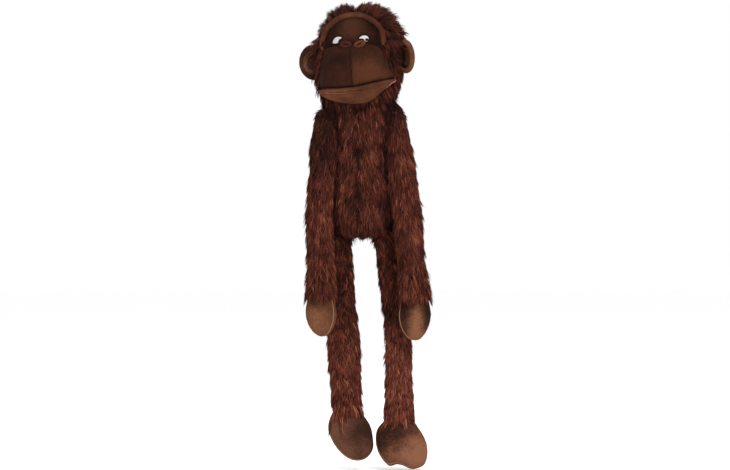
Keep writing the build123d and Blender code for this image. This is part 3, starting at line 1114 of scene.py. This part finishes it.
def lip():
    def reach(angle, step):
        return round_reach(angle, *LIP_REACH) * profile(LIP_SECTION, step)

    def floor(angle, step, x):
        return mouth_height(x) - LIP_GAP - lip_depth(angle) * step

    piece = drum("lower_lip_cloth", np.linspace(0, 1, 24), reach, floor, [LIP_SUEDE])
    puff(piece, voxel=1.9, cap=0.9)
    angle = np.radians(np.linspace(FOLD_FROM, FOLD_TO, FOLD_STEPS))
    out = round_reach(angle, *LIP_REACH)
    x, y = out * np.sin(angle), MUZZLE_AXIS - out * np.cos(angle)
    deep = lip_depth(angle)

    def at_depth(share):
        return HEAD.out(np.column_stack([x, y, floor(angle, share, x)]))

    fold = on_surface(piece, at_depth(0.33))
    crease(piece, fold, depth=1.1, width=1.5)
    settle(piece, ["lower_lip"])
    width = 0.6 + 0.09 * deep * arch(FOLD_STEPS)
    trim("lip_edge_fold", on_surface(piece, at_depth(0.14), -0.3), width, LIP_BAND)
    # The ridge: a light tube, painted highlight along the fold.
    width = 0.6 * arch(RIDGE_STEPS, start=0.15)
    trim("lip_fold_ridge", on_surface(piece, fold[:RIDGE_STEPS], 0.5), width, LIP_RIDGE_HIGHLIGHT)
    # The curl is a real edge, coloured light as a painted highlight.
    corner = smooth_line(LIP_CORNER, 24)
    width = 0.9 * arch(len(corner), 0.3, math.pi - 0.1)
    trim("lip_corner_curl", on_surface(piece, HEAD.out(corner), 0.3), width, LIP_CURL_HIGHLIGHT)


# Each eye's middle, and in mm about it the white's outline and the pupil as (x, z, radius). The dark
# outline is the white's, grown and raised.
EYE_AT = {"right": (-19.0, 11.0), "left": (17.0, 10.0)}
WHITE = {
    "right": [(6.4, 2.7), (0.0, 4.0), (-4.4, 1.8), (-6.6, -1.5), (-5.9, -3.9), (0.2, -4.2), (2.8, -1.0)],
    "left": [
        (-6.6, 0.0), (-3.2, 2.8), (0.9, 3.1), (4.0, 1.5),
        (5.0, -1.6), (2.8, -5.0), (0.4, -4.0), (-1.6, -1.2),
    ],
}
PUPIL = {"right": (4.6, -1.4, 2.2), "left": (3.0, -2.4, 1.8)}
LID_GROWTH = 1.28
LID_RISE = 1.3


def patch(name, outline, rise, thick, material, nodes):
    """A stitched patch that follows the round of the eye panel and swells a little."""
    rim = smooth_line(outline, 48, closed=True)

    def front(x, z, share):
        return on_sphere(x, z, PANEL_R + rise + thick * np.sqrt(np.maximum(1 - share**4, 0)))

    def back(x, z, share):
        return on_sphere(x, z, PANEL_R - 2.6)

    verts, faces = pad_points(rim, front, back, rings=6)
    settle(build(name, HEAD.out(verts), faces, [material]), nodes)


def eyes():
    for side in SIDES:
        at = np.array(EYE_AT[side])
        white = np.array(WHITE[side])
        grow = white * LID_GROWTH + (0.0, LID_RISE)
        patch(f"eye_rim_{side}", at + grow, -1.0, 0.9, EYE_BLACK, [f"eye_outline_{side}"])
        patch(f"eye_ball_{side}", at + white, -0.5, 1.3, EYE_WHITE, [f"eye_white_{side}"])
        x, z, r = PUPIL[side]
        dot = oval(r, r, 10) + (x, z)
        patch(f"eye_pupil_{side}", at + dot, 0.3, 1.2, EYE_BLACK, [f"pupil_{side}"])


# Each nostril's middle, its turn in degrees and its cloth. Both are tipped back.
NOSTRIL = {
    "right": ((-6.1, -55.5, 3.6), 8.0, NOSTRIL_RED),
    "left": ((11.8, -55.0, 2.2), -12.0, NOSTRIL_TAN),
}
NOSTRIL_TIP = -25.0
NOSTRIL_STEPS = 48


def nostrils():
    """Each nostril is a little stuffed ring, pinched to an oval with a dark hollow."""
    for side, (middle, tilt, material) in NOSTRIL.items():
        place = Place(middle, turn(tilt, "Y") @ turn(NOSTRIL_TIP, "X"))
        ring = HEAD.out(place.out(upright(oval(6.0, 2.9, NOSTRIL_STEPS))))
        width = 2.0 + 0.35 * np.cos(turn_round(NOSTRIL_STEPS) - 0.6)
        piece = loop_tube(f"nostril_roll_{side}", ring, width, material, around=12)
        settle(piece, [f"nostril_{side}"])
        # The hollow is a pad of the dark muzzle suede inside the ring: painted shade in the nostril's
        # hollow.
        rim = oval(6.4, 2.6, NOSTRIL_STEPS)
        verts, faces = pad_points(rim, lambda x, z, share: 0.4, lambda x, z, share: 2.6, rings=4)
        hollow = build(f"nostril_hollow_{side}", HEAD.out(place.out(verts)), faces, [FACE_DARK])
        settle(hollow, [])


# Each ear's middle, half width, half height and swing in degrees, and how far its rolled rim stands out.
EAR = {
    "right": ((-61.5, -9.0, -12.5), 19.4, 23.2, 8.0, 3.0),
    "left": ((60.0, -9.0, -16.5), 17.5, 22.0, -40.0, 5.4),
}
# The share of the ear inside its rim.
EAR_HOLLOW = 0.68
# The rim's and the hollow's suede are lit and shaded copies: painted light on the left ear's rim and in the
# right ear's hollow, painted shade on the right ear's rim and in the left ear's hollow.
EAR_RIM = {
    "right": suede("ear_suede_rim_right", (34, 18, 14), (48, 27, 21), (70, 43, 34), sheen=0.1),
    "left": suede("ear_suede_rim_left", (56, 34, 24), (84, 52, 36), (116, 76, 54), sheen=0.12),
}
EAR_INSIDE = {
    "right": suede("ear_suede_inside_right", (60, 36, 29), (84, 53, 43), (110, 74, 60)),
    "left": suede("ear_suede_inside_left", (20, 12, 11), (30, 18, 16), (44, 27, 24)),
}


def ears():
    for side, (middle, wide, high, swing, roll) in EAR.items():

        def front(x, z, share):
            rim = roll * bell(share - 0.8, 0.19)
            return -rim - 0.2 + 0.5 * roll * (1 - share) ** 0.7

        def back(x, z, share):
            return 5.6 * np.sqrt(np.maximum(1 - share**2, 0)) + 0.2

        verts, faces = pad_points(oval(wide, high, 64), front, back, rings=14)
        place = Place(middle, turn(swing, "Z"))
        materials = [EAR_RIM[side], EAR_INSIDE[side]]
        piece = build(f"ear_cloth_{side}", HEAD.out(place.out(verts)), faces, materials)
        puff(piece, voxel=1.6, cap=0.8, pressure=3.0)
        x, y, z = place.inside(HEAD.inside(coordinates(piece))).T
        paint(piece, (np.hypot(x / wide, z / high) < EAR_HOLLOW) & (y < 0.5))
        settle(piece, [f"ear_front_{side}", f"ear_back_{side}"])


# ------------------------ hands and feet

# Each paw's dark, middle and light suede, which way its painted shade goes from dark by the wrist or ankle,
# under the pile, to light and over what span in mm, and how far to the side of its joint the middle of
# that lies, this far below the joint.
PAW_MIDDLE = -30.0
PAW_SUEDE = {
    "hand_right": [(54, 32, 22), (80, 49, 34), (104, 69, 49), (0, 0, -1), 60.0, 0.0],
    "hand_left": [(31, 18, 13), (62, 37, 26), (104, 67, 48), (0.5, 0, -0.8), 60.0, 0.0],
    "foot_right": [(44, 26, 19), (72, 45, 34), (92, 60, 44), (-0.75, 0, -0.5), 60.0, 6.0],
    "foot_left": [(40, 23, 18), (76, 46, 33), (110, 72, 53), (0.8, 0, -0.5), 50.0, 0.0],
}
# The left palm is lighter in a band down its middle: its direction, place to the side and span.
PALM_BAND = {"hand_left": ((1, 0, -0.1), 2.0, 14.0)}
# Outlines in mm from the wrist or the ankle, in the plane of the hand or foot.
PAW_OUTLINE = {
    "hand_right": [
        (-13, 2), (-18, -13), (-19.5, -27), (-15.5, -42), (-7, -53), (2.5, -56.5),
        (11, -53), (18, -41), (20.5, -27), (18.5, -12), (13, 2),
    ],
    "hand_left": [
        (-13, 2), (-20, -12), (-23, -28), (-20, -44), (-13, -54), (-5, -58),
        (4, -56), (13, -46), (19, -31), (19, -14), (13, 2),
    ],
    "foot_right": [
        (-14, 3), (-23.0, -5), (-27.5, -17), (-25.0, -35), (-18.5, -51.5), (-9, -64.5),
        (3, -71.5), (16, -70), (25.5, -59), (28, -45), (27, -24), (19, -5), (10, 3),
    ],
    "foot_left": [
        (-12, 3), (-22, -4), (-30.5, -15), (-33, -32), (-29.5, -51), (-19, -68), (-9, -67),
        (3, -71), (12, -76), (27, -71), (33, -54), (31, -33), (20, -9), (11, 3),
    ],
}
# How far the seam round each paw is turned about it, in degrees, so that it shows at one side, where its
# light thread paints the rim's highlight.
SEAM_TURN = {"hand_right": -26.0, "hand_left": 14.0, "foot_right": 6.0, "foot_left": 6.0}
HAND_THICK = 11.0
FOOT_THICK = 15.0
# How far the toes hang down and lean, in degrees.
FOOT_DROOP = -36.0
FOOT_LEAN = {"right": -9.0, "left": -4.0}


def paw(name, thick, place, nodes):
    """A stuffed hand or foot: two panels over one outline, sewn round the rim."""
    rim = smooth_line(PAW_OUTLINE[name], 72, closed=True)
    dark, mid, light, shade_to_light, span, aside = PAW_SUEDE[name]
    band = None
    if name in PALM_BAND:
        across, beside, reach = PALM_BAND[name]
        band = (across, place.centre + (beside, 0, PAW_MIDDLE), reach)
    # Painted shade: darker by the wrist or ankle, under the pile, and lighter away from it.
    lean = (shade_to_light, place.centre + (aside, 0, PAW_MIDDLE), span)
    material = suede(f"{name}_suede", dark, mid, light, lean, band)

    def half(sign):
        return lambda x, z, share: sign * thick * np.sqrt(np.maximum(1 - share**2.4, 0))

    verts, faces = pad_points(rim, half(-1), half(1), rings=14)
    piece = build(f"{name}_cloth", place.out(verts), faces, [material])
    puff(piece, voxel=2.6, cap=2.0)
    seam = on_surface(piece, place.out(upright(rim) @ turn(SEAM_TURN[name], "Z").T))
    crease(piece, seam, depth=0.8, width=1.6)
    settle(piece, nodes, name)
    # The seam's light thread: painted highlight along the paw's rim.
    trim(f"{name}_seam", on_surface(piece, seam, 0.3), 0.6, HIGHLIGHT_THREAD, name, closed=True)


def hand(side):
    upward = unit(ELBOW[side] - WRIST[side])
    across = unit(np.array((upward[2], 0.0, -upward[0])))
    place = Place(WRIST[side], np.column_stack([across, np.cross(upward, across), upward]))
    nodes = [f"hand_back_{side}", f"hand_palm_{side}", f"hand_stuffing_{side}"]
    paw(f"hand_{side}", HAND_THICK, place, nodes)


def foot(side):
    place = Place(ANKLE[side], turn(FOOT_LEAN[side], "Y") @ turn(FOOT_DROOP, "X"))
    nodes = [f"foot_upper_{side}", f"foot_sole_{side}", f"foot_stuffing_{side}"]
    paw(f"foot_{side}", FOOT_THICK, place, nodes)


# ------------------------ stage

STAGE_COLOUR = (254, 254, 254)
STAGE_R = 14000.0
STAGE_DROP = -0.5
STAGE_SIDES = 96
# What the camera looks at straight on, how much height it sees there, and from how far.
VIEW_CENTRE = NECK + (5.1, 0.0, -173.4)
VIEW_HEIGHT = 602.5
CAMERA_DISTANCE = 4500.0
# Square lamps: name, place, side and power, all aimed at one place.
LAMP_AIM = (0.0, 0.0, 300.0)
LAMPS = [
    ("key", (900.0, -2000.0, 1700.0), 900.0, 52.0),
    ("fill", (-1700.0, -1500.0, 500.0), 1400.0, 10.0),
    ("rim", (-600.0, 1700.0, 1500.0), 1200.0, 20.0),
]


def stage():
    paper = plain_material("stage_paper", STAGE_COLOUR, 0.9, gloss=0.5)
    rim = np.column_stack([oval(STAGE_R, STAGE_R, STAGE_SIDES), np.full(STAGE_SIDES, STAGE_DROP)])
    build("stage_floor", rim, [tuple(range(STAGE_SIDES))], [paper], smooth=False)

    scene = bpy.context.scene
    scene.view_settings.view_transform = "Standard"
    world = bpy.data.worlds.new("studio")
    scene.world = world
    world.use_nodes = True
    sky = world.node_tree.nodes["Background"]
    sky.inputs["Color"].default_value = (1.0, 1.0, 1.0, 1.0)
    sky.inputs["Strength"].default_value = 1.0

    for name, place, size, power in LAMPS:
        light = bpy.data.lights.new(name, "AREA")
        light.size = size * MM
        light.energy = power
        lamp = add_object(name, light)
        lamp.location = Vector(place) * MM
        aim = Vector(LAMP_AIM) * MM - lamp.location
        lamp.rotation_euler = aim.to_track_quat("-Z", "Y").to_euler()

    camera = bpy.data.cameras.new("camera")
    camera.sensor_fit = "VERTICAL"
    camera.angle_y = 2 * math.atan(VIEW_HEIGHT / 2 / CAMERA_DISTANCE)
    eye = add_object("camera", camera)
    eye.location = Vector(VIEW_CENTRE - (0.0, CAMERA_DISTANCE, 0.0)) * MM
    eye.rotation_euler = (math.pi / 2, 0.0, 0.0)
    scene.camera = eye


stage()
body()
head()
eye_panel()
brow_roll()
muzzle()
lip()
eyes()
nostrils()
ears()
for side in SIDES:
    arm(side)
    leg(side)
    hand(side)
    foot(side)
# The CAD's rings of seam cloth stay in view deep in the pile, in the cloth that backs it.
for name, node in frame["nodes"].items():
    if "_seam" in name:
        node.data.materials.clear()
        node.data.materials.append(BACKING)
